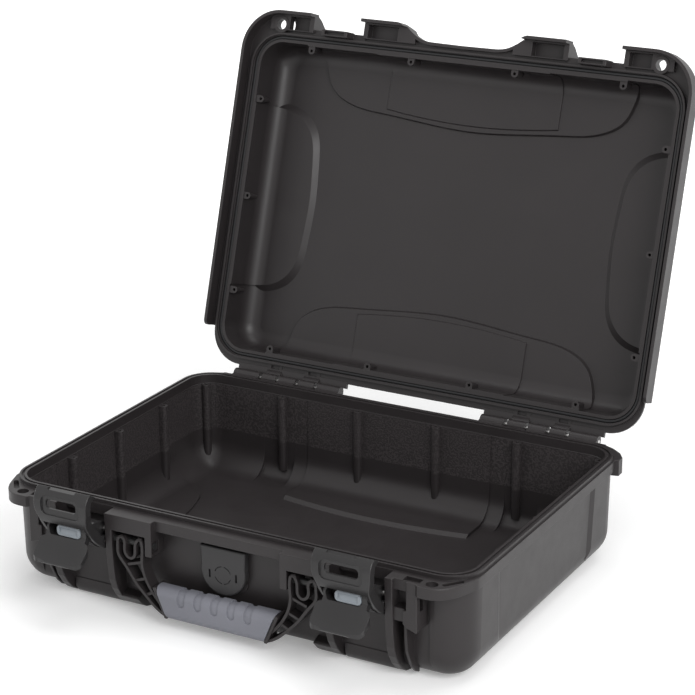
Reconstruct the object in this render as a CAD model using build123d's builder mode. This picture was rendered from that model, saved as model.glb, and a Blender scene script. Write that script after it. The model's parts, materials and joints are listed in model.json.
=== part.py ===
"""Laptop hard case: moulded base and lid, draw latches, folding handle and pressure valve.

The frame has +X to the right, +Y to the hinges and +Z up. Its origin is the centre of the
base on the plane that its four foot pads stand on. The lid is modelled closed and then turned
open about the hinge axis, and the latches and the handle are modelled where they hang.
"""
import os
from math import atan2, cos, degrees, hypot, radians, sin

from build123d import *

os.makedirs("parts", exist_ok=True)

# ---------------------------------------------------------------- driving dimensions, mm
inner_half_width = 213.0  # inside of the rim, left to right
inner_half_depth = 149.0  # inside of the rim, front to back
inner_corner = 23.0
wall = 3.5
draft = 1.0  # degrees
running_fit = 0.05  # radial, pins that turn in their holes
body_gap = 0.4  # between pieces that pass each other

rim_height = 96.5  # top of the base tongue
ledge_drop = 8.5  # the liner ledge and its screw pillars stand this far below the rim
ledge_width = 0.9
tongue_width = 6.5
floor_bottom = 3.0
floor_thickness = 3.0
base_edge = 19.0  # rounded edge between the walls and the floor, outside
bulge = 2.0  # the corners stand proud of the walls
corner_bottom, corner_edge = 3.4, 23.0
pad_edge = 12.0  # rounded edge of the foot pads that the case stands on
flange_top = 93.0
flange_thickness = 9.5
side_flange_width = 8.0
rear_flange_reach = 166.8
middle_flange_reach = 166.0
bracket_reach = 172.0

hinge_y = 172.5
hinge_z = 91.7
open_angle = 107.4  # degrees from closed to open
knuckle_radius = 5.4
hinge_pin_radius = 2.0
knuckle_edges = [72.0, 99.5, 120.0, 141.4, 160.1, 191.0]  # base, lid, base, lid, base
knuckle_gap = 3.4

lid_rim_gap = 0.5  # the closed lid stands this far above the base tongue
lid_depth = 45.0
lid_edge = 20.0
skirt_half_width = 229.5
skirt_thickness = 3.0
skirt_drop = 12.0  # below the lid's rim plane
skirt_end = 131.0
lid_channel = 1.5  # underside of the flange above the lid's rim plane
lid_flange_thickness = 3.0
lid_rear_half_width = 224.0
lid_rear_reach = 164.2
block_reach = 178.4
dip_reach = 163.4
skirt_corner = 39.5

screw_pillar_radius = 4.0
screw_hole_radius = 1.4
side_pillar_x = 208.0
side_pillar_pitch = 72.8
corner_pillar = (203.5, 140.5)
end_pillar_y = 145.3
end_pillar_pitch = 81.3
lid_boss_height = 1.0  # boss tops above the lid's rim plane

eyelet_x = 193.7
eyelet_y = 165.5
eyelet_radius = 5.0
eyelet_ring = 2.6

latch_x = 131.6
latch_half_width = 26.0
bay_half_width = 24.3
base_pin_y, base_pin_z = -165.0, 76.0
claw_pin_y, claw_pin_z = -169.0, 66.0
base_pin_radius = 2.0
claw_pin_radius = 1.75
lock_travel = 8.0

handle_y, handle_z = -165.5, 70.0
handle_pin_radius = 3.0
valve_z = 57.0

# ---------------------------------------------------------------- sizes that follow
outer_half_width = inner_half_width + wall
outer_half_depth = inner_half_depth + wall
ledge_height = rim_height - ledge_drop
floor_top = floor_bottom + floor_thickness
flange_bottom = flange_top - flange_thickness
lid_rim = rim_height + lid_rim_gap
lid_top = lid_rim + lid_depth
hinge_axis = Axis((0, hinge_y, hinge_z), (1, 0, 0))
SIDES = {"left": -1, "right": 1}


def tub(inset, mouth_z, end_z, edge_radius, depth_inset=None):
    """A tub that narrows by the draft angle from its mouth to its rounded closed end."""
    grow_y = inset if depth_inset is None else depth_inset
    up = end_z > mouth_z
    mouth = Plane((0, 0, mouth_z), x_dir=(1, 0, 0), z_dir=(0, 0, 1 if up else -1))
    with BuildPart() as body:
        with BuildSketch(mouth):
            RectangleRounded(
                2 * (inner_half_width - inset), 2 * (inner_half_depth - grow_y), inner_corner - inset
            )
        extrude(amount=abs(end_z - mouth_z), taper=draft)
        fillet(body.faces().sort_by(Axis.Z)[-1 if up else 0].edges(), edge_radius)
    return body.part


def ring(outer_x, outer_y, outer_radius, inner_x, inner_y, inner_radius, low, high):
    """A level ring between two rounded rectangles, given by their half sizes."""
    with BuildPart() as body:
        with BuildSketch(Plane.XY.offset(low)):
            RectangleRounded(2 * outer_x, 2 * outer_y, outer_radius)
            RectangleRounded(2 * inner_x, 2 * inner_y, inner_radius, mode=Mode.SUBTRACT)
        extrude(amount=high - low)
    return body.part


def prism(plane, points, length, corner=0.0, soft=0.0):
    """A prism on an outline, with rounded outline corners and softened edges where asked."""
    with BuildPart() as body:
        with BuildSketch(plane) as outline:
            with BuildLine():
                Polyline(*points, close=True)
            make_face()
            if corner:
                fillet(outline.vertices(), corner)
        extrude(amount=length)
        if soft:
            fillet(body.edges(), soft)
    return body.part


def slab(points, low, high, corner=0.0, soft=0.0):
    """A prism that stands on a plan outline."""
    return prism(Plane.XY.offset(low), points, high - low, corner, soft)


def rib(points, left, right, corner=0.0, soft=0.0):
    """A prism across the width, drawn by its outline in y and z."""
    return prism(Plane.YZ.offset(left), points, right - left, corner, soft)


def block(left, right, front, back, low, high, soft=0.0):
    """A box between six planes."""
    return rib([(front, low), (back, low), (back, high), (front, high)], left, right, 0, soft)


def across(y, z, radius, left, right):
    """A round bar along X."""
    with BuildPart() as body:
        with BuildSketch(Plane.YZ.offset(left)):
            with Locations((y, z)):
                Circle(radius)
        extrude(amount=right - left)
    return body.part


def upright(x, y, radius, low, high):
    """A round bar along Z."""
    with BuildPart() as body:
        with BuildSketch(Plane.XY.offset(low)):
            with Locations((x, y)):
                Circle(radius)
        extrude(amount=high - low)
    return body.part


def endwise(x, z, radius, front, back):
    """A round bar along Y."""
    with BuildPart() as body:
        with BuildSketch(Plane.XZ.offset(-back)):
            with Locations((x, z)):
                Circle(radius)
        extrude(amount=back - front)
    return body.part


def boss(x, y, to_x, to_y, radius, low, high, narrowing=0.0):
    """An upright boss that is drawn out sideways to meet the wall."""
    with BuildPart() as body:
        with BuildSketch(Plane.XY.offset(low)):
            with Locations((x + to_x / 2, y + to_y / 2)):
                SlotCenterToCenter(hypot(to_x, to_y), 2 * radius, rotation=degrees(atan2(to_y, to_x)))
        extrude(amount=high - low, taper=narrowing)
    return body.part


# ---------------------------------------------------------------- base shell
# Walls and floor, the four corners that stand proud of them, and the pads that they stand on
base_walls = tub(-wall, flange_top, floor_bottom, base_edge)
corner_body = tub(-wall - bulge, flange_top, corner_bottom, corner_edge)
corner_front_y, corner_rear_y, corner_slant = -97.0, 98.0, 10.0
corner_front_x, corner_rear_x = 186.0, 200.0
corner_masks = []
for side in SIDES.values():
    corner_masks.append(
        slab(
            [
                (side * 250, corner_front_y), (side * (outer_half_width + bulge), corner_front_y),
                (side * (outer_half_width - 1.5), corner_front_y + corner_slant),
                (side * (outer_half_width - 14), corner_front_y - 8), (side * (corner_front_x + 6), -130),
                (side * corner_front_x, -outer_half_depth), (side * corner_front_x, -200), (side * 250, -200),
            ],
            -1,
            flange_top,
        )
    )
    corner_masks.append(
        slab(
            [
                (side * 250, corner_rear_y), (side * (outer_half_width + bulge), corner_rear_y),
                (side * (outer_half_width - 1.5), corner_rear_y - corner_slant),
                (side * (outer_half_width - 14), corner_rear_y + 8), (side * (corner_rear_x + 4), 130),
                (side * corner_rear_x, outer_half_depth), (side * corner_rear_x, 200), (side * 250, 200),
            ],
            -1,
            flange_top,
        )
    )
pad_inner, pad_outer, pad_back = 109.0, 154.0, 104.0
pad_body = tub(-wall, flange_top, 0, pad_edge)
foot_pads = [pad_body & slab([(side * pad_inner, end * pad_back), (side * pad_outer, end * pad_back),
                              (side * pad_outer, end * 170), (side * pad_inner, end * 170)],
                             -1, floor_bottom + 14, 7)
             for side in SIDES.values() for end in (-1, 1)]

# Inside: the mouth, the room below the liner ledge, and the moulded swells along the foot of
# the walls, each left by a slightly smaller room in its own stretch of the plan
mouth_cut = tub(0, rim_height + 1, ledge_height, 0.3)
room = tub(ledge_width, ledge_height + 0.01, floor_top, 14)
swell_room = tub(ledge_width + 0.1, ledge_height + 0.01, floor_top, 24)
platform_room = tub(ledge_width + 1.1, ledge_height + 0.01, floor_top + 3.0, 22)
side_pad_room = tub(ledge_width + 0.6, ledge_height + 0.01, floor_top + 2, 20)
swell_half, swell_inner, swell_outer = 110.0, 95.0, 143.0
back_edge = inner_half_depth + wall / 2
with BuildPart() as swell_band:
    with BuildSketch(Plane.XY.offset(floor_top - 1)):
        with Locations((0, back_edge - 30)):
            Rectangle(2 * swell_half, 60)
        for side in SIDES.values():
            with Locations((side * (swell_outer + 40), back_edge - 30)):
                Rectangle(80, 60)
    extrude(amount=ledge_height - floor_top + 1)
platform_height, platform_run = 3.0, 4.0


def platform_outline(z, inset):
    """The plan of the raised platform along the back wall, with its curved front drawn in."""
    with BuildSketch(Plane.XY.offset(z)) as outline:
        with BuildLine():
            front_curve = ThreePointArc(
                (-swell_inner, 99 + inset), (0, 90 + inset), (swell_inner, 99 + inset))
            Polyline(front_curve @ 1, (swell_inner, back_edge), (-swell_inner, back_edge), front_curve @ 0)
        make_face()
    return outline.sketch


platform_foot = platform_outline(floor_top - 0.5, -platform_run * 0.5 / platform_height)
platform_top = platform_outline(floor_top + platform_height, platform_run)
with BuildPart() as platform_band:
    add([platform_foot, platform_top])
    loft(ruled=True)
    extrude(platform_top, amount=ledge_height - floor_top - platform_height)
with BuildPart() as side_pad_band:
    with BuildSketch(Plane.XY.offset(floor_top - 1)):
        with BuildLine():
            pad_edge_line = ThreePointArc((164, -62), (153, 0), (164, 62))
            rear_end = TangentArc(pad_edge_line @ 1, (196, 90), tangent=pad_edge_line % 1)
            front_end = TangentArc(pad_edge_line @ 0, (196, -90), tangent=-(pad_edge_line % 0))
            Polyline(rear_end @ 1, (inner_half_width + wall / 2, 93), (inner_half_width + wall / 2, -93),
                     front_end @ 1)
        make_face()
    extrude(amount=ledge_height - floor_top + 1)

# Rim: tongue, and the flange round it with the hinge strip, corner ears and front ledges
tongue = ring(
    inner_half_width + tongue_width, inner_half_depth + tongue_width, inner_corner + tongue_width,
    inner_half_width - 1, inner_half_depth - 1, inner_corner - 1, flange_bottom, rim_height,
)
flange = ring(
    inner_half_width + side_flange_width, inner_half_depth + side_flange_width,
    inner_corner + side_flange_width, inner_half_width, inner_half_depth, inner_corner,
    flange_bottom, flange_top,
)

rim_groove = ring(
    inner_half_width + 4.6, inner_half_depth + 4.6, inner_corner + 4.6,
    inner_half_width + 2.2, inner_half_depth + 2.2, inner_corner + 2.2, rim_height - 1.6, rim_height + 1,
)

# Front: middle ledge, handle brackets, strap frames and the padlock corners, right half
soft_edge = 0.7
rib_back = -(outer_half_depth - 2.0)
bracket_inner, bracket_outer, bracket_rib = 61.0, 107.0, 6.5
lintel_bottom = 79.0
frame_left = latch_x + bay_half_width - 0.5
frame_rib, frame_post_left, frame_post_right = 7.0, 174.3, 183.9
frame_inside = frame_left + frame_rib
frame_front, frame_recess = -169.0, -159.6
crossbar_low, crossbar_high = 57.0, 68.5
rib_front = -bracket_reach
low_curve = [(-159.5, 14), (-153, 7), (-146.5, 2.6), (-139, 0.6), (-132, 0.6), (-132, 5)]
leg_outline = [
    (rib_back, flange_top), (rib_front, flange_top), (rib_front, 80), (rib_front + 1, 58),
    (rib_front + 2, 45), (-168.2, 32), (-164.8, 22.5), *low_curve, (rib_back, 24),
]
front_adds = [
    block(-bracket_inner - 2, bracket_inner + 2, -middle_flange_reach, rib_back,
          flange_bottom, flange_top, soft_edge),
    block(bracket_inner, bracket_outer, rib_front, rib_back, lintel_bottom, flange_top, soft_edge),
    block(bracket_inner, bracket_inner + bracket_rib, rib_front, rib_back, 62, flange_top, soft_edge),
    rib(leg_outline, bracket_outer - bracket_rib, bracket_outer, 0, soft_edge),
    rib([(rib_back, 18), (-157.6, 15.6), *low_curve], 84, bracket_outer - 1, 0, soft_edge),
    rib(leg_outline, frame_left, frame_inside, 0, soft_edge),
    block(frame_inside - 1, frame_post_right, frame_front, rib_back, flange_bottom, flange_top, soft_edge),
    block(frame_inside - 1, frame_post_left - 1.2, frame_front, rib_back, crossbar_low, crossbar_high,
          soft_edge),
    block(frame_inside - 1, frame_post_left + 1, frame_recess, rib_back, crossbar_low, flange_top),
    prism(Plane.XZ.offset(-rib_back), [
        (frame_post_left - 2.8, crossbar_low), (frame_post_left - 2.8, crossbar_high),
        (frame_post_left, crossbar_high), (frame_post_left, flange_top), (frame_post_right, flange_top),
        (frame_post_right, 50.6), (frame_post_left + 0.2, 53.9)], -rib_front + rib_back, 0, soft_edge),
    rib([(rib_back, 60), (-166, 60), (-165, 40), (-163.5, 29), (-158.5, 19), (-154, 11), (-148, 5),
         (-142, 2), (-142, 8), (rib_back, 24)], 169.4, 172.0, 0, soft_edge),
]
with BuildPart() as padlock_corner:
    with BuildSketch(Plane.XY.offset(flange_bottom)):
        with BuildLine():
            edge_line = Line((frame_post_left + 1.7, -bracket_reach + 7), (185, -bracket_reach - 2.3))
            edge_curve = Spline(edge_line @ 1, (201, -172.5), (212.5, -160.5), (219.5, -142), (221, -122),
                                tangents=[(1, -0.1), (0, 1)])
            Polyline(edge_curve @ 1, (inner_half_width, -122), (inner_half_width - 10, -inner_half_depth),
                     (frame_post_left + 1.7, -inner_half_depth), edge_line @ 0)
        make_face()
    extrude(amount=flange_thickness)
    fillet(padlock_corner.faces().sort_by(Axis.Z)[-1].edges().filter_by(
        lambda e: e.bounding_box().min.Y < -150 and e.center().Y < -130), soft_edge)
front_adds.append(padlock_corner.part)

base_pin_hole = across(base_pin_y, base_pin_z, base_pin_radius, latch_x - bay_half_width - 5,
                       latch_x + bay_half_width + 5)
strap_slot = rib([(-166.4, 67.5), (frame_recess, 67.5), (frame_recess, 81), (-166.4, 81)],
                 frame_post_left - 0.5, frame_post_right + 1, 1.5)
with BuildPart() as corner_slot:
    with BuildSketch(Plane.XY.offset(flange_top - 3)):
        with Locations((207.5, -156.3)):
            SlotOverall(18.6, 4.4, rotation=52)
    extrude(amount=4)
front_cuts = [
    upright(eyelet_x, -eyelet_y, eyelet_radius, flange_bottom - 1, flange_top + 4),
    across(handle_y, handle_z, handle_pin_radius, bracket_inner - 1, bracket_outer - 1.5),
    base_pin_hole,
    strap_slot,
    block(bracket_inner - 1, bracket_inner + 1.5, handle_y - 4.5, handle_y + 4.5,
          handle_z - 5, handle_z + 5),
    block(eyelet_x - 24, eyelet_x - 9.5, -168.5, -161, flange_top - 3, flange_top + 1, 0),
    corner_slot.part,
]

# Back: hinge strip, corner ears and the base knuckles of the two hinges
strip_half = 199.0
back_adds = [
    block(-strip_half, strip_half, inner_half_depth + 1, rear_flange_reach, flange_bottom, flange_top,
          soft_edge),
]
for side in SIDES.values():
    ear = [(side * 196, inner_half_depth + 1), (side * 196, rear_flange_reach), (side * 209, 160.7),
           (side * 218, 153.5), (side * 223.5, 145), (side * 223.5, 137), (side * 217, 135.5)]
    back_adds.append(slab(ear if side > 0 else ear[::-1], 78, flange_top, 0, soft_edge))
    spans = list(zip(knuckle_edges[:-1], knuckle_edges[1:]))[::2]
    for inner, outer in spans:
        low, high = sorted((side * (inner + knuckle_gap / 2), side * (outer - knuckle_gap / 2)))
        back_adds.append(across(hinge_y, hinge_z, knuckle_radius, low, high))
        back_adds.append(rib([(rear_flange_reach - 3, flange_bottom), (hinge_y, hinge_z - knuckle_radius),
                              (hinge_y, hinge_z), (hinge_y - 3, hinge_z + 3),
                              (rear_flange_reach - 3, flange_top)],
                             low, high))
hinge_holes = [across(hinge_y, hinge_z, hinge_pin_radius, *sorted((side * (knuckle_edges[0] + 2),
               side * (knuckle_edges[-1] + 1)))) for side in SIDES.values()]

# Screw pillars for a liner, round the inside
pillar_places = [(side * side_pillar_x, y, side * 5.0, 0.0) for side in SIDES.values()
                 for y in (-side_pillar_pitch, 0, side_pillar_pitch)]
pillar_places += [(x * end_pillar_pitch, end * end_pillar_y, 0.0, end * 4.0)
                  for x in (-1.5, -0.5, 0.5, 1.5) for end in (-1, 1)]
pillar_places += [(side * corner_pillar[0], end * corner_pillar[1], side * 4.0, end * 4.0)
                  for side in SIDES.values() for end in (-1, 1)]
pillars = [boss(*place, screw_pillar_radius, floor_top + 8, ledge_height) & base_walls
           for place in pillar_places]
screw_holes = [upright(x, y, screw_hole_radius, ledge_height - 14, ledge_height + 0.5)
               for x, y, _, _ in pillar_places]

# Flat pads inside and outside the front wall where the pressure valve is fitted
valve_pad_front, valve_pad_back, valve_bore = -153.5, -145.5, 10.5
pad = prism(Plane.XZ.offset(-valve_pad_back), [(-20, valve_z - 17), (20, valve_z - 17), (20, valve_z + 19),
            (-20, valve_z + 19)], valve_pad_back - valve_pad_front, 8)
with BuildPart() as valve_bore_cut:
    with BuildSketch(Plane.XZ.offset(-valve_pad_back - 2)):
        with Locations((0, valve_z)):
            Circle(valve_bore)
    extrude(amount=valve_pad_back - valve_pad_front + 4)

corners = [corner_body & mask for mask in corner_masks]
side_bands = side_pad_band.part + side_pad_band.part.mirror(Plane.YZ)
cavity = room - [swell_band.part - swell_room, platform_band.part - platform_room, side_bands - side_pad_room]
with BuildPart() as base_shell:
    add(base_walls)
    add(corners)
    add(foot_pads)
    add([tongue, flange])
    for piece in front_adds:
        add(piece)
        add(piece.mirror(Plane.YZ))
    add(back_adds)
    add(cavity, mode=Mode.SUBTRACT)
    add(pillars)
    add(pad)
    add(mouth_cut, mode=Mode.SUBTRACT)
    for piece in front_cuts:
        add(piece, mode=Mode.SUBTRACT)
        add(piece.mirror(Plane.YZ), mode=Mode.SUBTRACT)
    add(rim_groove, mode=Mode.SUBTRACT)
    add(hinge_holes, mode=Mode.SUBTRACT)
    add(screw_holes, mode=Mode.SUBTRACT)
    add(valve_bore_cut.part, mode=Mode.SUBTRACT)
base_shell.part.label = "base_shell"
export_step(base_shell.part, "parts/base_shell.step")


# ---------------------------------------------------------------- lid shell, modelled closed
lid_ceiling = lid_top - wall
lid_mouth = lid_rim - 0.5
swell_height, crown_height = 4.0, 5.5  # of the moulded swells of the panel
side_run, end_run, crown_run = 5.0, 1.2, 3.5  # how far the swells' edges slope in plan
panel_step = 3.0  # the panel stands this far above its margins, outside
lid_outer = tub(-wall, lid_rim, lid_top, lid_edge)
lid_room = tub(0, lid_mouth, lid_ceiling, lid_edge - wall)
lid_swell_room = tub(1.2, lid_mouth, lid_ceiling - swell_height, 15)
lid_crown_room = tub(1.9, lid_mouth, lid_ceiling - crown_height, 15)
lid_swell_outer = tub(-wall + 1.0, lid_rim, lid_top - panel_step, lid_edge - 2)


def lens_outline(depths, reach, inset, z):
    """The plan of a lens-shaped band along the back wall. Its edge crosses the panel through the
    given points, as (distance along, distance from the middle), and is drawn in by the inset."""
    half = depths[-1][0]
    edge = [(x * (1 - inset / half), y + inset) for x, y in depths]
    with BuildSketch(Plane.XY.offset(z)) as outline:
        with BuildLine():
            edge_curve = Spline(*[(-x, y) for x, y in edge[:0:-1]], *edge)
            Polyline(edge_curve @ 1, (edge[-1][0], reach), (-edge[-1][0], reach), edge_curve @ 0)
        make_face()
    return outline.sketch


def lens(depths, reach, run, height):
    """A lens-shaped band under the ceiling, whose edge slopes down from the given points."""
    foot = lens_outline(depths, reach, -run / height, lid_ceiling + 1)
    narrow = lens_outline(depths, reach, run, lid_ceiling - height)
    with BuildPart() as body:
        add([foot, narrow])
        loft(ruled=True)
        extrude(narrow, amount=lid_rim - lid_ceiling + height)
    return body.part


def outer_lens(depths, reach, run):
    """The same band outside, kept clear of the sloped edge inside."""
    with BuildPart() as body:
        add(lens_outline(depths, reach, run + wall, lid_rim))
        extrude(amount=lid_depth + 1)
    return body.part


back_edge_points = [(0, 86.6), (92, 93.5), (137, 101.6), (153, 113.6), (160, 130), (165, 145)]
crown_edge_points = [(0, 89.6), (50, 91.6), (92, 96.0)]
side_edge_points = [(0, 154.2), (40, 156.5), (68, 162), (85, 176), (92, 195), (93.5, 206)]
end_reach, side_reach = inner_half_depth + 8, inner_half_width + 8
end_lens = lens(back_edge_points, end_reach, end_run, swell_height)
end_crown = lens(crown_edge_points, end_reach, crown_run, crown_height)
side_lens = lens(side_edge_points, side_reach, side_run, swell_height).rotate(Axis.Z, -90)
end_margin = outer_lens(back_edge_points, end_reach, end_run)
side_margin = outer_lens(side_edge_points, side_reach, side_run).rotate(Axis.Z, -90)
lenses = [end_lens, end_lens.mirror(Plane.XZ), side_lens, side_lens.mirror(Plane.YZ)]
crowns = [end_crown, end_crown.mirror(Plane.XZ)]
margins = [end_margin, end_margin.mirror(Plane.XZ), side_margin, side_margin.mirror(Plane.YZ)]

# Plan of the flange round the lid: corner and middle blocks with a bay for each latch between
bay_left, bay_right = latch_x - 27.0, latch_x + 27.0
bay_reach = 163.5
block_inner = 66.0
corner_x, corner_y = skirt_half_width - skirt_corner, -(block_reach - skirt_corner)
channel_z = lid_rim + lid_channel
flange_z = channel_z + lid_flange_thickness
skirt_low = lid_rim - skirt_drop
land_z = lid_rim - 3.0
sweep = [(block_inner, -block_reach), (57, -173.2), (46, -166.4), (33, -163.8)]
with BuildPart() as lid_flange:
    with BuildSketch(Plane.XY.offset(channel_z)):
        with BuildLine():
            rear_line = Line((0, lid_rear_reach), (lid_rear_half_width - 32, lid_rear_reach))
            rear_arc = ThreePointArc(
                rear_line @ 1, (lid_rear_half_width - 32 * (1 - sin(radians(45))),
                                lid_rear_reach - 32 * (1 - cos(radians(45)))),
                (lid_rear_half_width, lid_rear_reach - 32))
            side_line = Polyline(rear_arc @ 1, (lid_rear_half_width, skirt_end),
                                 (skirt_half_width, skirt_end), (skirt_half_width, corner_y))
            front_arc = ThreePointArc(
                side_line @ 1, (corner_x + skirt_corner * sin(radians(45)),
                                corner_y - skirt_corner * cos(radians(45))), (corner_x, -block_reach))
            Polyline(front_arc @ 1, (bay_right, -block_reach), (bay_right, -bay_reach),
                     (bay_left, -bay_reach), (bay_left, -block_reach), (block_inner, -block_reach))
            sweep_line = Spline(*sweep, tangents=[(-1, 0.2), (-1, 0.05)])
            Polyline(sweep_line @ 1, (0, -dip_reach), rear_line @ 0)
        make_face()
        mirror(about=Plane.YZ)
    extrude(amount=lid_flange_thickness)
with BuildPart() as plan_column:
    add(lid_flange.part)
    extrude(lid_flange.faces().sort_by(Axis.Z)[-1], amount=40)
    extrude(lid_flange.faces().sort_by(Axis.Z)[0], amount=20)

# Skirt: down both sides and round the front corners, and a lip along the front dip
with BuildPart() as skirt:
    with BuildSketch(Plane.XY.offset(skirt_low)):
        with BuildLine():
            outer_side = Line((skirt_half_width, skirt_end), (skirt_half_width, corner_y))
            outer_arc = ThreePointArc(
                outer_side @ 1, (corner_x + skirt_corner * sin(radians(45)),
                                 corner_y - skirt_corner * cos(radians(45))), (corner_x, -block_reach))
            front_edge = Polyline(outer_arc @ 1, (bay_right, -block_reach),
                                  (bay_right, -block_reach + skirt_thickness),
                                  (corner_x, -block_reach + skirt_thickness))
            inner_radius = skirt_corner - skirt_thickness
            inner_arc = ThreePointArc(
                front_edge @ 1, (corner_x + inner_radius * sin(radians(45)),
                                 corner_y - inner_radius * cos(radians(45))),
                (skirt_half_width - skirt_thickness, corner_y))
            Polyline(inner_arc @ 1, (skirt_half_width - skirt_thickness, skirt_end), outer_side @ 0)
        make_face()
    extrude(amount=flange_z - skirt_low)
    fillet(skirt.edges().group_by(Axis.Y)[-1].filter_by(Axis.X).sort_by(Axis.Z)[0], 6)
lip_back = [(x, y + skirt_thickness) for x, y in sweep]
with BuildPart() as dip_lip:
    with BuildSketch(Plane.XY.offset(land_z)):
        with BuildLine():
            lip_outer = Spline(*sweep, tangents=[(-1, 0.2), (-1, 0.05)])
            Polyline(lip_outer @ 1, (-1, -dip_reach), (-1, -dip_reach + skirt_thickness), lip_back[-1])
            lip_inner = Spline(*lip_back[::-1], tangents=[(1, -0.05), (1, -0.2)])
            Line(lip_inner @ 1, lip_outer @ 0)
        make_face()
    extrude(amount=flange_z - land_z)

# Blocks: hollow underneath, with rounded shoulders that run up the wall
block_outline = [
    (-block_reach, skirt_low), (-block_reach, 95), (-177, 101), (-173.3, 108.7), (-167.3, 116.6),
    (-163.5, 124), (-150.5, 130), (-150.5, channel_z), (-160.5, channel_z), (-160.5, land_z),
    (-block_reach + skirt_thickness, land_z), (-block_reach + skirt_thickness, skirt_low),
]
middle_front = prism(Plane.XZ.offset(140), [(50, 80), (bay_left, 80), (bay_left, 128), (bay_left - 4, 132),
                     (82, 132), (67, 119), (50, 101)], 45)
corner_front = prism(Plane.XZ.offset(140), [(bay_right, 80), (bay_right, 128), (bay_right + 4, 132),
                     (176, 132), (188, 118), (206, 101), (206, 80)], 45)
block_body = rib(block_outline, 30, 215)
middle_block = block_body & middle_front & plan_column.part
corner_block = block_body & corner_front & plan_column.part
pocket_wall = 4.5
pockets = [
    block(block_inner + 2.5, bay_left - pocket_wall, -block_reach + 4.4, -161.5, land_z - 1, 103),
    block(bay_right + pocket_wall, eyelet_x - eyelet_radius - eyelet_ring - 1.4,
          -block_reach + 4.4, -161.5, land_z - 1, 103),
]
eyelet_boss = upright(eyelet_x, -eyelet_y, eyelet_radius + eyelet_ring + 0.4, lid_rim - 3.5, flange_z)

# Latch bay: the beam that the claw hooks over, and the slotted lug that hangs below it
beam = rib([(-bay_reach, lid_rim), (-bay_reach, 113.2), (-bay_reach + 0.8, 113.6), (-158.4, 112.2),
            (-157.6, 112.6), (-151.5, 112.6), (-151.5, channel_z), (-158, channel_z), (-158, lid_rim)],
           bay_left - 1, bay_right + 1)
lug = prism(Plane.XZ.offset(158.5), [(118, 86), (145, 86), (147, 99), (116, 99)], 6, 0, 0.8)
lug_slot = block(121, 142, -163, -160, 85, 90)

# Back of the lid: arms and knuckles of the two hinges, and the slots above them
knuckle_spans = list(zip(knuckle_edges[:-1], knuckle_edges[1:]))
lid_knuckles = []
lid_back_cuts = []
for side in SIDES.values():
    for inner, outer in knuckle_spans[1::2]:
        low, high = sorted((side * (inner + knuckle_gap / 2), side * (outer - knuckle_gap / 2)))
        lid_knuckles.append(across(hinge_y, hinge_z, knuckle_radius, low, high))
        lid_knuckles.append(rib([(158, 98), (163.9, 98), (hinge_y - 4.4, 94.6), (hinge_y, hinge_z),
                                 (hinge_y + 4.6, 94.6), (169.5, flange_z - 0.3), (166, flange_z),
                                 (158, flange_z)], low, high))
        lid_back_cuts.append(block((low + high) / 2 - 4.5, (low + high) / 2 + 4.5, 159.3, 162.3,
                                   lid_rim, lid_rim + 3))
    lid_knuckles.append(rib([(162, 98.2), (162, flange_z), (169, flange_z), (168.5, 97.6)],
                            *sorted((side * knuckle_edges[0], side * knuckle_edges[-1]))))
    lid_back_cuts.append(across(hinge_y, hinge_z, hinge_pin_radius + running_fit,
                                *sorted((side * (knuckle_edges[1] - 1), side * (knuckle_edges[-2] + 1)))))

lid_bosses = [(side * side_pillar_x, y, side * 4.0, 0.0) for side in SIDES.values()
              for y in (-92.6, 1.5, 93.6)]
lid_bosses += [(x, y, 0.0, 3.6 if y > 0 else -3.6) for x in (-159.7, -53.2, 53.2, 159.7)
               for y in (-143.7, 144.2)]
boss_top = lid_rim + lid_boss_height
boss_radius, boss_depth = 3.4, 18.0
rim_corner = inner_corner + 9
lid_wall_body = lid_outer - [shape - lid_swell_outer for shape in margins]
lid_swells = [(shape - lid_swell_room) & lid_wall_body for shape in lenses]
lid_swells += [(shape - lid_crown_room) & lid_wall_body for shape in crowns]
with BuildPart() as lid_closed:
    add(lid_wall_body)
    add(lid_flange.part)
    add(ring(inner_half_width + 9, inner_half_depth + 9, rim_corner, inner_half_width, inner_half_depth,
             inner_corner, lid_rim, channel_z + 1))
    add(ring(inner_half_width + 9, inner_half_depth + 9, rim_corner, inner_half_width + 7,
             inner_half_depth + 7, rim_corner - 2, lid_rim - 2.8, lid_rim + 1))
    for piece in (skirt.part, dip_lip.part, middle_block, corner_block, eyelet_boss, beam, lug):
        add(piece)
        add(piece.mirror(Plane.YZ))
    add(lid_knuckles)
    add(lid_room, mode=Mode.SUBTRACT)
    add(lid_swells)
    add([boss(*place, boss_radius, boss_top, boss_top + boss_depth, 6) & lid_wall_body
         for place in lid_bosses])
    add(ring(inner_half_width + 6.4, inner_half_depth + 6.4, rim_corner - 2.6, inner_half_width + 3,
             inner_half_depth + 3, rim_corner - 6, lid_rim - 1, lid_rim + 3.2), mode=Mode.SUBTRACT)
    for piece in pockets + [lug_slot, upright(eyelet_x, -eyelet_y, eyelet_radius, 80, 150),
                            upright(eyelet_x, -eyelet_y, eyelet_radius + 5, flange_z, 150)]:
        add(piece, mode=Mode.SUBTRACT)
        add(piece.mirror(Plane.YZ), mode=Mode.SUBTRACT)
    add(lid_back_cuts, mode=Mode.SUBTRACT)
    add([upright(x, y, screw_hole_radius, boss_top - 1, boss_top + 10) for x, y, _, _ in lid_bosses],
        mode=Mode.SUBTRACT)
with BuildPart() as lid_shell:
    add(lid_closed.part.rotate(hinge_axis, -open_angle))
lid_shell.part.label = "lid_shell"
export_step(lid_shell.part, "parts/lid_shell.step")

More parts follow.
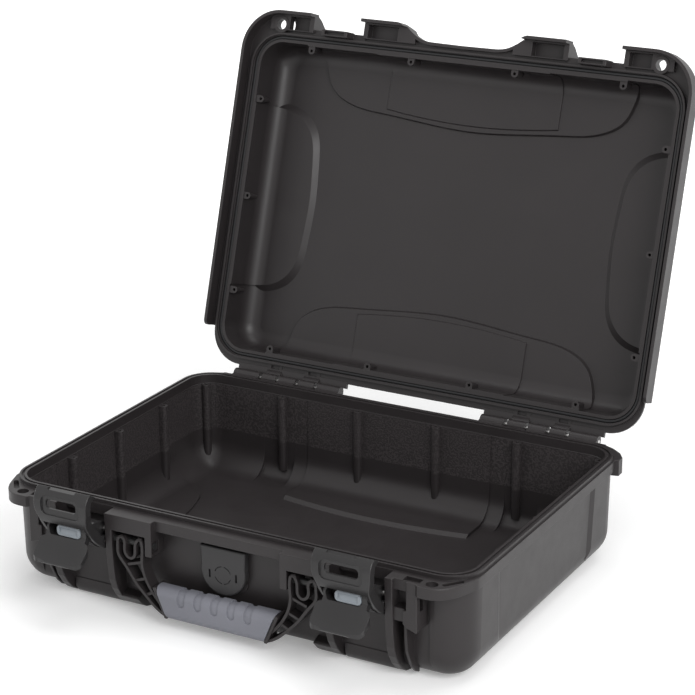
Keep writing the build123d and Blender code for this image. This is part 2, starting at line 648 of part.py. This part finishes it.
# Gasket in the lid's groove
with BuildPart() as gasket_closed:
    add(ring(inner_half_width + 6.2, inner_half_depth + 6.2, rim_corner - 2.8, inner_half_width + 3.2,
             inner_half_depth + 3.2, rim_corner - 5.8, lid_rim + 0.2, lid_rim + 3.2))
    fillet(gasket_closed.faces().sort_by(Axis.Z)[0].edges(), 1.2)
with BuildPart() as lid_gasket:
    add(gasket_closed.part.rotate(hinge_axis, -open_angle))
lid_gasket.part.label = "lid_gasket"
export_step(lid_gasket.part, "parts/lid_gasket.step")

# ---------------------------------------------------------------- hinge pins
pin_inner, pin_outer = knuckle_edges[0] + 2, knuckle_edges[-1] - 1.2
for name, side in SIDES.items():
    low, high = sorted((side * pin_inner, side * pin_outer))
    with BuildPart() as hinge_pin:
        add(across(hinge_y, hinge_z, hinge_pin_radius, low, high))
        end = hinge_pin.faces().sort_by(Axis.X)[-1 if side > 0 else 0]
        chamfer(end.edges(), 0.4)
    hinge_pin.part.label = "hinge_pin_" + name
    export_step(hinge_pin.part, "parts/hinge_pin_" + name + ".step")

# ---------------------------------------------------------------- latch claw, about x = 0
cheek_inner, cheek_outer = 20.4, 23.4
plate_low = 85.5
crest, brow_end, cheek_start = (-192.5, 116.5), (-199.8, 104.0), (-194.0, 83.6)
with BuildPart() as claw_profile:
    with BuildSketch(Plane.YZ.offset(-latch_half_width)):
        with BuildLine():
            front_arc = TangentArc(brow_end, cheek_start, tangent=(0, -1))
            brow = TangentArc(brow_end, crest, tangent=(0, 1))
            heel = TangentArc(front_arc @ 1, (-172.4, 61.6), tangent=front_arc % 1)
            Polyline(heel @ 1, (claw_pin_y, claw_pin_z), (-172.4, 70.2), (-178.2, 77.6), (-186.4, 86.5),
                     (-191.2, 95), (-192.4, 102.5), (-190.8, 109.5), (-186.2, 111.6), (-185.5, 112.8),
                     brow @ 1)
        make_face()
    extrude(amount=2 * latch_half_width)
claw_front = prism(Plane.XZ.offset(150), [
    (-latch_half_width, 160), (-latch_half_width, 99), (-cheek_outer, 88), (-cheek_outer, 20),
    (cheek_outer, 20), (cheek_outer, 88), (latch_half_width, 99), (latch_half_width, 160)], 60, 18)
claw_core = claw_profile.part & claw_front
with BuildPart() as claw_room:
    with BuildSketch(Plane.YZ.offset(-cheek_inner)):
        with BuildLine():
            inner_brow = TangentArc((-195.8, 102), (-190.4, 109.0), tangent=(0, 1))
            inner_front = TangentArc((-195.8, 102), (-191.2, plate_low), tangent=(0, -1))
            Polyline(inner_front @ 1, (-206, plate_low), (-206, 54), (-160, 54), (-160, 111.0),
                     (-186.0, 111.0), inner_brow @ 1)
        make_face()
    extrude(amount=2 * cheek_inner)
window = prism(Plane.XZ.offset(185), [(-15, 99.3), (15, 99.3), (15, 108), (-15, 108)], 20, 3.4)
window_recess = prism(Plane.XZ.offset(197.8), [(-19, 94), (19, 94), (19, 110.8), (-19, 110.8)], 5, 5)
lip_step = block(-15, 12, -200, -176, 114.9, 119)
with BuildPart() as claw:
    add(claw_core)
    outer_faces = [f for f in claw.faces().filter_by(GeomType.CYLINDER) if abs(f.center().X) < 5]
    fillet([e for f in outer_faces for e in f.edges() if abs(e.center().X) > 10], 0.9)
    for place in (-cheek_outer, cheek_inner):
        add(across(claw_pin_y, claw_pin_z, 5.5, place, place + cheek_outer - cheek_inner))
    add([claw_room.part, window, window_recess, lip_step], mode=Mode.SUBTRACT)
    add(across(claw_pin_y, claw_pin_z, claw_pin_radius + running_fit, -30, 30), mode=Mode.SUBTRACT)

# Latch lever, about x = 0: housing for the slide lock, and the thumb tab below it
lever_half = 19.5
tab_half = 24.3
with BuildPart() as lever_profile:
    with BuildSketch(Plane.YZ.offset(-30)):
        with BuildLine():
            nose = Polyline((-186.5, 71.5), (-178, 64.5), (-172.5, 61.4), (-167.5, 61.4), (-163.5, 65),
                            (-160.2, 71.5), (-160.2, 77), (-162.6, 80.4), (-167, 82.8), (-178, 85.6),
                            (-187, 85.6), (-190, 84), (-191.3, 81), (-191.2, 76.4))
            upper = ThreePointArc(nose @ 1, (-199.0, 66.6), (-209.4, 58.6))
            foot = ThreePointArc(upper @ 1, (-210.3, 56.6), (-208.8, 54.8))
            ThreePointArc(foot @ 1, (-197.2, 62.4), nose @ 0)
        make_face()
    extrude(amount=60)
with BuildPart() as lever_plan:
    with BuildSketch(Plane.XY.offset(50)):
        with BuildLine():
            tab_side = Polyline((lever_half, -155), (lever_half, -193.4), (tab_half - 1.6, -194.2),
                                (tab_half - 0.2, -195.8), (tab_half, -198.5), (tab_half - 0.4, -204.8))
            tab_corner = ThreePointArc(tab_side @ 1, (tab_half - 2.2, -207.8), (tab_half - 6.5, -209.0))
            tab_end = ThreePointArc(tab_corner @ 1, (0, -210.9), (6.5 - tab_half, -209.0))
            tab_other = ThreePointArc(tab_end @ 1, (2.2 - tab_half, -207.8), (0.4 - tab_half, -204.8))
            Polyline(tab_other @ 1, (-tab_half, -198.5), (0.2 - tab_half, -195.8), (1.6 - tab_half, -194.2),
                     (-lever_half, -193.4), (-lever_half, -155), tab_side @ 0)
        make_face()
    extrude(amount=60)
lock_left, lock_right = -9.0, 14.4  # about the middle of the latch
lock_back, lock_front, lock_low, lock_high = -181.8, -192.5, 74.4, 83.6
lock_round, side_gap = 3.5, 0.3
foot_low, foot_high, foot_front = lock_low - 0.7, lock_high + 0.5, -184.3
pocket_left, pocket_right = lock_left - lock_travel - body_gap, lock_right + body_gap


def lock_outline(left, right, low, high, corner, front, back):
    """A rounded rectangle in the front view, drawn out along Y."""
    return prism(Plane.XZ.offset(-back), [(left, low), (right, low), (right, high), (left, high)],
                 back - front, corner)


with BuildPart() as lever:
    add(lever_profile.part & lever_plan.part)
    add(lock_outline(pocket_left, pocket_right, lock_low - side_gap, lock_high + side_gap,
                     lock_round + side_gap, -197, lock_back + side_gap), mode=Mode.SUBTRACT)
    add(block(pocket_left, pocket_right, foot_front - side_gap, lock_back + side_gap,
              foot_low - side_gap, foot_high + side_gap), mode=Mode.SUBTRACT)
    add(across(base_pin_y, base_pin_z, base_pin_radius + running_fit, -30, 30), mode=Mode.SUBTRACT)
    add(across(claw_pin_y, claw_pin_z, claw_pin_radius, -30, 30), mode=Mode.SUBTRACT)

# Slide lock: a foot that runs in the lever's undercut and a rounded thumb pad, scooped hollow
# along its length
with BuildPart() as lock:
    add(lock_outline(lock_left, lock_right, lock_low, lock_high, lock_round, lock_front, foot_front + 0.5))
    fillet(lock.faces().sort_by(Axis.Y)[0].edges(), 0.7)
    add(across(lock_front - 3.9, (lock_low + lock_high) / 2 + 0.4, 5.0, lock_left + 3, lock_right - 3),
        mode=Mode.SUBTRACT)
    add(block(lock_left, lock_right, foot_front, lock_back, foot_low, foot_high))

base_pin = across(base_pin_y, base_pin_z, base_pin_radius, -bay_half_width - 5, bay_half_width + 5)
claw_pin = across(claw_pin_y, claw_pin_z, claw_pin_radius, -cheek_outer, cheek_outer)
for name, side in SIDES.items():
    for kind, shape in (("claw", claw.part), ("lever", lever.part), ("lock", lock.part),
                        ("base_pin", base_pin), ("claw_pin", claw_pin)):
        with BuildPart(Plane((side * latch_x, 0, 0))) as latch_piece:
            with Locations((0, 0, 0)):
                add(shape)
        latch_piece.part.label = "latch_" + kind + "_" + name
        export_step(latch_piece.part, "parts/latch_" + kind + "_" + name + ".step")

# ---------------------------------------------------------------- handle
arm_front, arm_back = -172.0, -160.0
stroke = 2.4
arm_top_radius = 8.0
arm_outer = [(90.6, 75.3), (93.6, 73.4), (94.4, 68), (94.2, 60), (87.4, 50.2), (78.4, 37.6), (68.2, 26.8),
             (58.2, 17.8), (47.5, 12.2)]
arm_inner = [(71.2, 75.0), (70.2, 65), (70.8, 56), (68.2, 43.5), (61, 30.8), (49.5, 18.0)]
arm_fold = [(90.6, 75.3), (87.8, 72.6), (87.6, 64), (85.4, 59), (81.6, 57.6), (78.2, 60), (77.2, 66),
            (76.2, 72.6), (73.8, 75.6), (71.2, 75.0)]
arm_rungs = [((85.6, 51), (71, 55.8)), ((77.6, 38.2), (68.3, 41.6)), ((67.4, 27.4), (60.4, 30.8))]
grip_front, grip_back = -175.0, -157.5
grip_top, grip_bottom = 38.0, 10.0
grip_top_half, grip_bottom_half = 57.0, 45.5


def arm_strokes(points_x_z):
    """One rib of an arm, traced in the front view."""
    with BuildPart() as body:
        with BuildSketch(Plane.XZ.offset(-arm_back)):
            with BuildLine():
                Spline(*points_x_z)
            trace(line_width=stroke)
        extrude(amount=arm_back - arm_front)
    return body.part


def grip_solid(inset):
    """The bar of the grip, wider at its top, with its long edges rounded."""
    outline = [(-grip_bottom_half, grip_bottom + inset), (grip_bottom_half, grip_bottom + inset),
               (grip_top_half, grip_top - inset), (-grip_top_half, grip_top - inset)]
    with BuildPart() as body:
        with BuildSketch(Plane.XZ.offset(-grip_back + inset)):
            with BuildLine():
                Polyline(*outline, close=True)
            make_face()
        extrude(amount=grip_back - grip_front - 2 * inset)
        fillet(body.edges().filter_by(Axis.X), 7.5 - inset * 0.7)
    return body.part


with BuildPart() as arm:
    for line in (arm_outer, arm_inner, arm_fold):
        add(arm_strokes(line))
    for start, end in arm_rungs:
        with BuildSketch(Plane.XZ.offset(-arm_back + 1)):
            with BuildLine():
                Line(start, end)
            trace(line_width=stroke)
        extrude(amount=arm_back - arm_front - 2)
collar = prism(Plane.XZ.offset(-grip_back + 1), [
    (grip_bottom_half, grip_bottom + 0.8), (grip_bottom_half + 3.6, grip_bottom + 0.8),
    (grip_top_half + 3.6, grip_top - 0.8), (grip_top_half, grip_top - 0.8)],
    grip_back - grip_front - 2, 0, 1.2)
grip_core = grip_solid(3.2)
notch_plane = Plane.XZ.offset(-grip_back - 1)
with BuildPart() as notches:
    with BuildSketch(notch_plane):
        for place in (-32, -16, 0, 16, 32):
            with Locations((place, grip_top - 2)):
                SlotOverall(22, 7, rotation=90)
    extrude(amount=grip_back - grip_front + 2)
with BuildPart() as arm_top_trim:
    add(block(60, 110, arm_front - 2, arm_back + 2, handle_z, handle_z + 12))
    add(across(handle_y, handle_z, arm_top_radius, 60, 110), mode=Mode.SUBTRACT)
with BuildPart() as handle_frame:
    for piece in (arm.part, collar):
        add(piece)
        add(piece.mirror(Plane.YZ))
    add(grip_solid(0), mode=Mode.SUBTRACT)
    add(grip_core)
    add([arm_top_trim.part, arm_top_trim.part.mirror(Plane.YZ)], mode=Mode.SUBTRACT)
    add(across(handle_y, handle_z, handle_pin_radius + running_fit, -110, 110), mode=Mode.SUBTRACT)
handle_frame.part.label = "handle_frame"
export_step(handle_frame.part, "parts/handle_frame.step")

with BuildPart() as handle_grip:
    add(grip_solid(0))
    add(notches.part - grip_solid(1.1), mode=Mode.SUBTRACT)
    add(grip_core, mode=Mode.SUBTRACT)
handle_grip.part.label = "handle_grip"
export_step(handle_grip.part, "parts/handle_grip.step")

for name, side in SIDES.items():
    low, high = sorted((side * (bracket_inner + 0.5), side * (bracket_outer - 1.5)))
    with BuildPart() as handle_pin:
        add(across(handle_y, handle_z, handle_pin_radius, low, high))
    handle_pin.part.label = "handle_pin_" + name
    export_step(handle_pin.part, "parts/handle_pin_" + name + ".step")

# ---------------------------------------------------------------- pressure valve
cover_half, cover_top, cover_low = 21.5, 78.6, 36.8
cover_front, cover_wall = -159.6, 2.2
vent_radius = 8.0


def shield(inset, low_y, high_y):
    """The shield outline of the cover, drawn in by the inset, as a prism along Y."""
    half = cover_half - inset
    with BuildPart() as body:
        with BuildSketch(Plane.XZ.offset(-high_y)):
            with BuildLine():
                side_line = Line((half, cover_top - inset), (half - 0.8, 62))
                ThreePointArc(side_line @ 1, (half * 0.72, cover_low + inset + 6.6), (0, cover_low + inset))
                Polyline((0, cover_low + inset), (0, cover_top - inset), (half, cover_top - inset))
            make_face()
            mirror(about=Plane.YZ)
        extrude(amount=high_y - low_y)
    return body.part


with BuildPart() as valve_cover:
    add(shield(0, cover_front, valve_pad_front))
    fillet(valve_cover.faces().sort_by(Axis.Y)[0].edges(), 1.7)
    add(shield(cover_wall, cover_front + 2.2, valve_pad_front), mode=Mode.SUBTRACT)
    add(block(-18, 18, cover_front + 2.2, valve_pad_front, cover_top - 6, cover_top + 2), mode=Mode.SUBTRACT)
    for side in SIDES.values():
        add(block(side * 12.6 - 0.9, side * 12.6 + 0.9, cover_front - 1, cover_front + 3,
                  valve_z - 6, valve_z + 1), mode=Mode.SUBTRACT)
    with BuildSketch(Plane.XZ.offset(-cover_front - 1.1)):
        with Locations((0, valve_z - 2)):
            Circle(vent_radius)
            Circle(vent_radius - 0.7, mode=Mode.SUBTRACT)
            Rectangle(2, 2 * vent_radius + 2, mode=Mode.SUBTRACT)
            Rectangle(2 * vent_radius + 2, 5, mode=Mode.SUBTRACT)
    extrude(amount=2, mode=Mode.SUBTRACT)
valve_cover.part.label = "valve_cover"
export_step(valve_cover.part, "parts/valve_cover.step")

flange_front, stem_back = -157.4, -138.5
nut_front, nut_back = valve_pad_back, -141.0
with BuildPart() as valve_body:
    add(endwise(0, valve_z, 14, flange_front + 0.4, valve_pad_front))
    add(endwise(0, valve_z, valve_bore, valve_pad_front - 0.1, stem_back))
    add(endwise(0, valve_z, 6, flange_front, flange_front + 1))
    add(endwise(0, valve_z, 7.5, -152, stem_back + 1), mode=Mode.SUBTRACT)
    add(endwise(0, valve_z, 3, flange_front - 1, -150), mode=Mode.SUBTRACT)
    add(endwise(0, valve_z, 13.2, valve_pad_front - 1.3, valve_pad_front)
        - endwise(0, valve_z, 11.4, valve_pad_front - 1.3, valve_pad_front), mode=Mode.SUBTRACT)
valve_body.part.label = "valve_body"
export_step(valve_body.part, "parts/valve_body.step")

with BuildPart() as valve_seal:
    add(endwise(0, valve_z, 13.0, valve_pad_front - 1.3, valve_pad_front)
        - endwise(0, valve_z, 11.6, valve_pad_front - 1.3, valve_pad_front))
    fillet(valve_seal.faces().sort_by(Axis.Y)[0].edges(), 0.4)
valve_seal.part.label = "valve_seal"
export_step(valve_seal.part, "parts/valve_seal.step")

with BuildPart() as valve_membrane:
    add(endwise(0, valve_z, 7.5, -152.0, -151.2))
valve_membrane.part.label = "valve_membrane"
export_step(valve_membrane.part, "parts/valve_membrane.step")

with BuildPart() as valve_nut:
    with BuildSketch(Plane.XZ.offset(-nut_back)):
        with Locations((0, valve_z)):
            RegularPolygon(15, 6)
            Circle(valve_bore, mode=Mode.SUBTRACT)
    extrude(amount=nut_back - nut_front)
    chamfer(valve_nut.faces().sort_by(Axis.Y)[-1].edges().filter_by(GeomType.LINE), 0.6)
valve_nut.part.label = "valve_nut"
export_step(valve_nut.part, "parts/valve_nut.step")
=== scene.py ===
import json
from math import cos, radians, sin

import bpy
from mathutils import Matrix, Vector

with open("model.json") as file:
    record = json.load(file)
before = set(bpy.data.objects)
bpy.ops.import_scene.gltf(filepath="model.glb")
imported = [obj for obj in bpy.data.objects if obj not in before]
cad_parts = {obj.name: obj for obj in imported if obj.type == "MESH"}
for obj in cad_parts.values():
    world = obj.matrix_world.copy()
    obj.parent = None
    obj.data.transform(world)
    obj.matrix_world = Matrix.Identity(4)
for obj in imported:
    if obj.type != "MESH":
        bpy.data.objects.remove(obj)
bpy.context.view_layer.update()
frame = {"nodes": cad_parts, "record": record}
nodes = frame["nodes"]
scene = bpy.context.scene
scene.view_settings.view_transform = "Standard"

# ---------------------------------------------------------------- camera, solved from the photo
CAMERA_PLACE = Vector((0.9118, -1.6005, 0.8500))
CAMERA_RIGHT = Vector((0.87619, 0.48196, -0.00339)).normalized()
CAMERA_FORWARD = Vector((-0.45568, 0.82607, -0.33161)).normalized()
CAMERA_UP = CAMERA_RIGHT.cross(CAMERA_FORWARD)
LENS, SENSOR_WIDTH = 118.77, 36  # mm

camera = bpy.data.objects.new("camera", bpy.data.cameras.new("camera"))
camera.data.lens = LENS
camera.data.sensor_width = SENSOR_WIDTH
camera.data.clip_end = 30
turn = Matrix((CAMERA_RIGHT, CAMERA_UP, -CAMERA_FORWARD)).transposed().to_4x4()
camera.matrix_world = Matrix.Translation(CAMERA_PLACE) @ turn
scene.collection.objects.link(camera)
scene.camera = camera


# ---------------------------------------------------------------- materials
# Sizes are in metres and colours are linear. Noise scales are in cycles a metre.
CLOUD_SCALE, PATCH_SCALE, FINE_SCALE, PEBBLE_SCALE = 14, 60, 900, 620
NOISE_LOW, NOISE_HIGH = 0.3, 0.7  # most of a noise's values lie between these
PEBBLE_LOW, PEBBLE_HIGH = 0.42, 0.62
DEEP_TONE, PALE_TONE, FLECK_TONE = 0.94, 1.07, 1.75  # times the plastic's own colour
ROUGHNESS_DOWN, ROUGHNESS_UP, GRAIN_ROUGHNESS = 0.025, 0.03, 0.12
FLECK_HEIGHT, MARK_DEPTH, BUMP_DISTANCE = 4.0, 3.0, 0.0004
EDGE_RADIUS, EDGE_SAMPLES = 0.0005, 4
STEEL_COLOUR, STEEL_SMOOTH, STEEL_ROUGH = (0.62, 0.61, 0.6, 1), 0.22, 0.42
STREAKS = (8, 900, 900)  # every rod lies along x

# The pebbled band inside the base: a rounded rectangle in plan, between two heights
CORE_X, CORE_Y, INSIDE_RADIUS, INSIDE_SOFTNESS = 0.190, 0.126, 0.0245, 0.0004
GRAIN_LOW, GRAIN_HIGH, GRAIN_SOFTNESS = 0.0425, 0.0872, 0.0006

# The ejector marks inside the lid, placed as if it were shut. The centres are one quarter's.
HINGE, OPEN_ANGLE = (0, 0.1725, 0.0917), radians(107.4)
LID_ALONG = (0, cos(OPEN_ANGLE), -sin(OPEN_ANGLE))
LID_UP = (0, sin(OPEN_ANGLE), cos(OPEN_ANGLE))
LID_CEILING, CEILING_SOFTNESS = 0.1386 - HINGE[2], 0.0003  # above the hinge axis
MARK_CENTRES = [(0.182, 0.116, 0), (0.053, 0.116, 0), (0.183, 0, 0)]
MARK_RADIUS, MARK_LINE = 0.0042, 0.0005


class Nodes:
    """A small helper that adds shader nodes and links them."""

    def __init__(self, name):
        self.material = bpy.data.materials.new(name)
        self.material.use_nodes = True
        self.tree = self.material.node_tree
        self.shader = self.tree.nodes["Principled BSDF"]

    def add(self, kind, inputs=None, **settings):
        node = self.tree.nodes.new("ShaderNode" + kind)
        for key, value in settings.items():
            setattr(node, key, value)
        for key, value in (inputs or {}).items():
            if isinstance(value, bpy.types.NodeSocket):
                self.tree.links.new(value, node.inputs[key])
            else:
                node.inputs[key].default_value = value
        return node

    def math(self, operation, *values):
        return self.add("Math", dict(enumerate(values)), operation=operation).outputs[0]

    def noise(self, vector, scale, detail=2.0, roughness=0.5):
        node = self.add("TexNoise", {"Vector": vector, "Scale": scale, "Detail": detail,
                                     "Roughness": roughness})
        return node.outputs["Fac"]

    def spread(self, value, low, high, out_low, out_high, smooth=False):
        node = self.add("MapRange", {"Value": value, "From Min": low, "From Max": high,
                                     "To Min": out_low, "To Max": out_high},
                        interpolation_type="SMOOTHSTEP" if smooth else "LINEAR")
        return node.outputs["Result"]

    def mix_colour(self, factor, a, b):
        node = self.add("Mix", {"Factor": factor}, data_type="RGBA")
        for index, value in ((6, a), (7, b)):
            if isinstance(value, bpy.types.NodeSocket):
                self.tree.links.new(value, node.inputs[index])
            else:
                node.inputs[index].default_value = value
        return node.outputs[2]

    def set(self, **values):
        for key, value in values.items():
            socket = self.shader.inputs[key.replace("_", " ")]
            if isinstance(value, bpy.types.NodeSocket):
                self.tree.links.new(value, socket)
            else:
                socket.default_value = value


def shaded(colour, times):
    """A colour made deeper or paler, with the alpha that a socket needs."""
    return [min(1, part * times) for part in colour] + [1]


def between(m, value, low, high, soft):
    """One where the value lies between two limits, with soft ends."""
    rise = m.spread(value, low - soft, low + soft, 0, 1, smooth=True)
    fall = m.spread(value, high - soft, high + soft, 1, 0, smooth=True)
    return m.math("MULTIPLY", rise, fall)


def base_grain(m, place):
    """The pebbled band round the inside of the base's walls, above the smooth lower part."""
    x, y, z = m.add("SeparateXYZ", {"Vector": place}).outputs
    past_x = m.math("MAXIMUM", m.math("SUBTRACT", m.math("ABSOLUTE", x), CORE_X), 0.0)
    past_y = m.math("MAXIMUM", m.math("SUBTRACT", m.math("ABSOLUTE", y), CORE_Y), 0.0)
    reach = m.math("SQRT", m.math("ADD", m.math("POWER", past_x, 2.0), m.math("POWER", past_y, 2.0)))
    inside = m.spread(reach, INSIDE_RADIUS - INSIDE_SOFTNESS, INSIDE_RADIUS + INSIDE_SOFTNESS, 1, 0,
                      smooth=True)
    return m.math("MULTIPLY", inside, between(m, z, GRAIN_LOW, GRAIN_HIGH, GRAIN_SOFTNESS))


def rings(m, place):
    """The round marks that ejector pins leave on a moulding."""
    total = 0.0
    for centre in MARK_CENTRES:
        gap = m.add("VectorMath", {0: place, 1: centre}, operation="DISTANCE").outputs["Value"]
        off = m.math("ABSOLUTE", m.math("SUBTRACT", gap, MARK_RADIUS))
        mark = m.spread(off, 0, MARK_LINE, 1, 0, smooth=True)
        total = m.math("ADD", mark, total)
    return total


def lid_marks(m, place):
    """Ejector pin marks inside the lid, which are alike in its four quarters."""
    x = m.add("SeparateXYZ", {"Vector": place}).outputs["X"]
    from_hinge = m.add("VectorMath", {0: place, 1: HINGE}, operation="SUBTRACT").outputs["Vector"]
    along = m.add("VectorMath", {0: from_hinge, 1: LID_ALONG}, operation="DOT_PRODUCT").outputs["Value"]
    height = m.add("VectorMath", {0: from_hinge, 1: LID_UP}, operation="DOT_PRODUCT").outputs["Value"]
    depth = m.math("ABSOLUTE", m.math("ADD", along, HINGE[1]))
    quarter = m.add("CombineXYZ", {"X": m.math("ABSOLUTE", x), "Y": depth}).outputs["Vector"]
    inside = m.spread(height, LID_CEILING, LID_CEILING + CEILING_SOFTNESS, 1, 0)
    return m.math("MULTIPLY", rings(m, quarter), inside)


def plastic(name, colour, roughness, grain, specular=0.35, grain_zone=None, marks=None):
    """Moulded plastic: uneven tone, a fine grain and softly rounded edges.

    grain_zone and marks are functions that say where a pebbled grain and sunk lines lie.
    """
    m = Nodes(name)
    place = m.add("TexCoord").outputs["Object"]
    tone = m.spread(m.noise(place, CLOUD_SCALE, 3), NOISE_LOW, NOISE_HIGH, 0.0, 1.0)
    tint = m.mix_colour(tone, shaded(colour, DEEP_TONE), shaded(colour, PALE_TONE))
    patches = m.noise(place, PATCH_SCALE, 3)
    rough = m.spread(patches, NOISE_LOW, NOISE_HIGH, roughness - ROUGHNESS_DOWN,
                     roughness + ROUGHNESS_UP)
    height = m.noise(place, FINE_SCALE, 2, 0.6)
    if grain_zone:
        zone = grain_zone(m, place)
        rough = m.math("ADD", rough, m.math("MULTIPLY", zone, GRAIN_ROUGHNESS))
        pebble = m.spread(m.noise(place, PEBBLE_SCALE, 1, 0.4), PEBBLE_LOW, PEBBLE_HIGH, 0, 1,
                          smooth=True)
        fleck = m.math("MULTIPLY", pebble, zone)
        tint = m.mix_colour(fleck, tint, shaded(colour, FLECK_TONE))
        height = m.math("ADD", height, m.math("MULTIPLY", fleck, FLECK_HEIGHT))
    if marks:
        height = m.math("SUBTRACT", height, m.math("MULTIPLY", marks(m, place), MARK_DEPTH))
    rounded = m.add("Bevel", {"Radius": EDGE_RADIUS}, samples=EDGE_SAMPLES).outputs["Normal"]
    bump = m.add("Bump", {"Height": height, "Strength": grain, "Distance": BUMP_DISTANCE,
                          "Normal": rounded})
    m.set(Base_Color=tint, Specular_IOR_Level=specular, Roughness=rough, Normal=bump.outputs["Normal"])
    return m.material


def drawn_steel(name):
    """Steel rod with the fine streaks of drawing along it."""
    m = Nodes(name)
    place = m.add("TexCoord").outputs["Object"]
    drawn = m.add("Mapping", {"Vector": place, "Scale": STREAKS}).outputs["Vector"]
    rough = m.spread(m.noise(drawn, 1, 3), NOISE_LOW, NOISE_HIGH, STEEL_SMOOTH, STEEL_ROUGH)
    m.set(Base_Color=STEEL_COLOUR, Metallic=1.0, Roughness=rough)
    return m.material


BLACK = (0.0229, 0.0198, 0.0204)
slot_finish = {
    "shell": plastic("shell", BLACK, 0.40, 0.10),
    "latch": plastic("latch", (0.0225, 0.0215, 0.022), 0.31, 0.06),
    "cover": plastic("cover", (0.030, 0.029, 0.030), 0.42, 0.10),
    "lock": plastic("lock", (0.215, 0.24, 0.265), 0.30, 0.04, specular=0.5),
    "grip": plastic("grip", (0.185, 0.188, 0.215), 0.6, 0.25),
    "seal": plastic("seal", (0.012, 0.012, 0.013), 0.5, 0.1),
    "membrane": plastic("membrane", (0.7, 0.7, 0.68), 0.6, 0.1),
    "dark_pin": plastic("dark_pin", (0.02, 0.02, 0.02), 0.35, 0.05),
    "steel": drawn_steel("steel"),
}
node_finish = {
    "lid_shell": plastic("lid_plastic", BLACK, 0.40, 0.10, marks=lid_marks),
    "base_shell": plastic("base_plastic", BLACK, 0.40, 0.14, grain_zone=base_grain),
}
for entry in frame["record"]["subparts"]:
    node = nodes[entry["node"]]
    finish = node_finish.get(entry["node"], slot_finish[entry["material_slot"]])
    for slot in node.material_slots:
        slot.material = finish
    if not node.material_slots:
        node.data.materials.append(finish)


# ---------------------------------------------------------------- studio
def seen_directly(tree):
    """One for rays that come from the camera, a mirror or glass, and zero for light that spreads."""
    rays = tree.nodes.new("ShaderNodeLightPath")
    total = rays.outputs["Is Camera Ray"]
    for name in ("Is Glossy Ray", "Is Transmission Ray"):
        sum_node = tree.nodes.new("ShaderNodeMath")
        sum_node.operation = "ADD"
        sum_node.use_clamp = True
        tree.links.new(total, sum_node.inputs[0])
        tree.links.new(rays.outputs[name], sum_node.inputs[1])
        total = sum_node.outputs[0]
    return total


def mixed(tree, plain, seen, output):
    """Show one shader to spread light and another to the rays that are seen directly."""
    mixer = tree.nodes.new("ShaderNodeMixShader")
    tree.links.new(seen_directly(tree), mixer.inputs[0])
    tree.links.new(plain, mixer.inputs[1])
    tree.links.new(seen, mixer.inputs[2])
    tree.links.new(mixer.outputs[0], output)


FLOOR_REACH, FLOOR_DROP, FLOOR_TONE = 12, 0.0002, 0.86
FLOOR_LIFT, FAR_LIFT = 0.24, 0.75  # glow that only direct rays see, near the case and far off
LIFT_START, LIFT_END = 0.45, 1.3  # from the middle of the case
WORLD_LIGHT = 0.5
WHITE = (1, 1, 1, 1)

corners = [(-FLOOR_REACH, -FLOOR_REACH, 0), (FLOOR_REACH, -FLOOR_REACH, 0),
           (FLOOR_REACH, FLOOR_REACH, 0), (-FLOOR_REACH, FLOOR_REACH, 0)]
floor = bpy.data.objects.new("floor", bpy.data.meshes.new("floor"))
floor.data.from_pydata(corners, [], [(0, 1, 2, 3)])
floor.location.z = -FLOOR_DROP
paper = Nodes("floor")
paper.set(Base_Color=shaded(WHITE[:3], FLOOR_TONE), Roughness=0.9, Specular_IOR_Level=0.1)
floor_place = paper.add("TexCoord").outputs["Object"]
away = paper.add("VectorMath", {0: floor_place}, operation="LENGTH").outputs["Value"]
strength = paper.spread(away, LIFT_START, LIFT_END, FLOOR_LIFT, FAR_LIFT)
lift = paper.add("Emission", {"Color": WHITE, "Strength": strength})
both = paper.add("AddShader", {0: paper.shader.outputs[0], 1: lift.outputs[0]})
surface = paper.tree.nodes["Material Output"].inputs["Surface"]
mixed(paper.tree, paper.shader.outputs[0], both.outputs[0], surface)
floor.data.materials.append(paper.material)
scene.collection.objects.link(floor)

world = bpy.data.worlds.new("world")
scene.world = world
world.use_nodes = True
tree = world.node_tree
back = tree.nodes["Background"]
back.inputs["Color"].default_value = WHITE
back.inputs["Strength"].default_value = WORLD_LIGHT
white = tree.nodes.new("ShaderNodeBackground")
white.inputs["Color"].default_value = WHITE
white.inputs["Strength"].default_value = 1.0
mixed(tree, back.outputs[0], white.outputs[0], tree.nodes["World Output"].inputs["Surface"])


def softbox(name, place, target, size, power):
    """A rectangular lamp of some watts, aimed at a target."""
    light = bpy.data.objects.new(name, bpy.data.lights.new(name, "AREA"))
    light.data.shape = "RECTANGLE"
    light.data.size, light.data.size_y = size
    light.data.energy = power
    light.location = place
    light.rotation_euler = (Vector(target) - Vector(place)).to_track_quat("-Z", "Y").to_euler()
    scene.collection.objects.link(light)


softbox("key", (1.7, -1.2, 1.4), (0.05, 0.0, 0.1), (1.2, 1.2), 36)
softbox("fill", (-2.2, -0.9, 0.8), (0, 0.05, 0.15), (1.4, 1.0), 9)
softbox("top", (0.2, 0.65, 2.5), (0, 0.1, 0.1), (2.0, 1.6), 26)
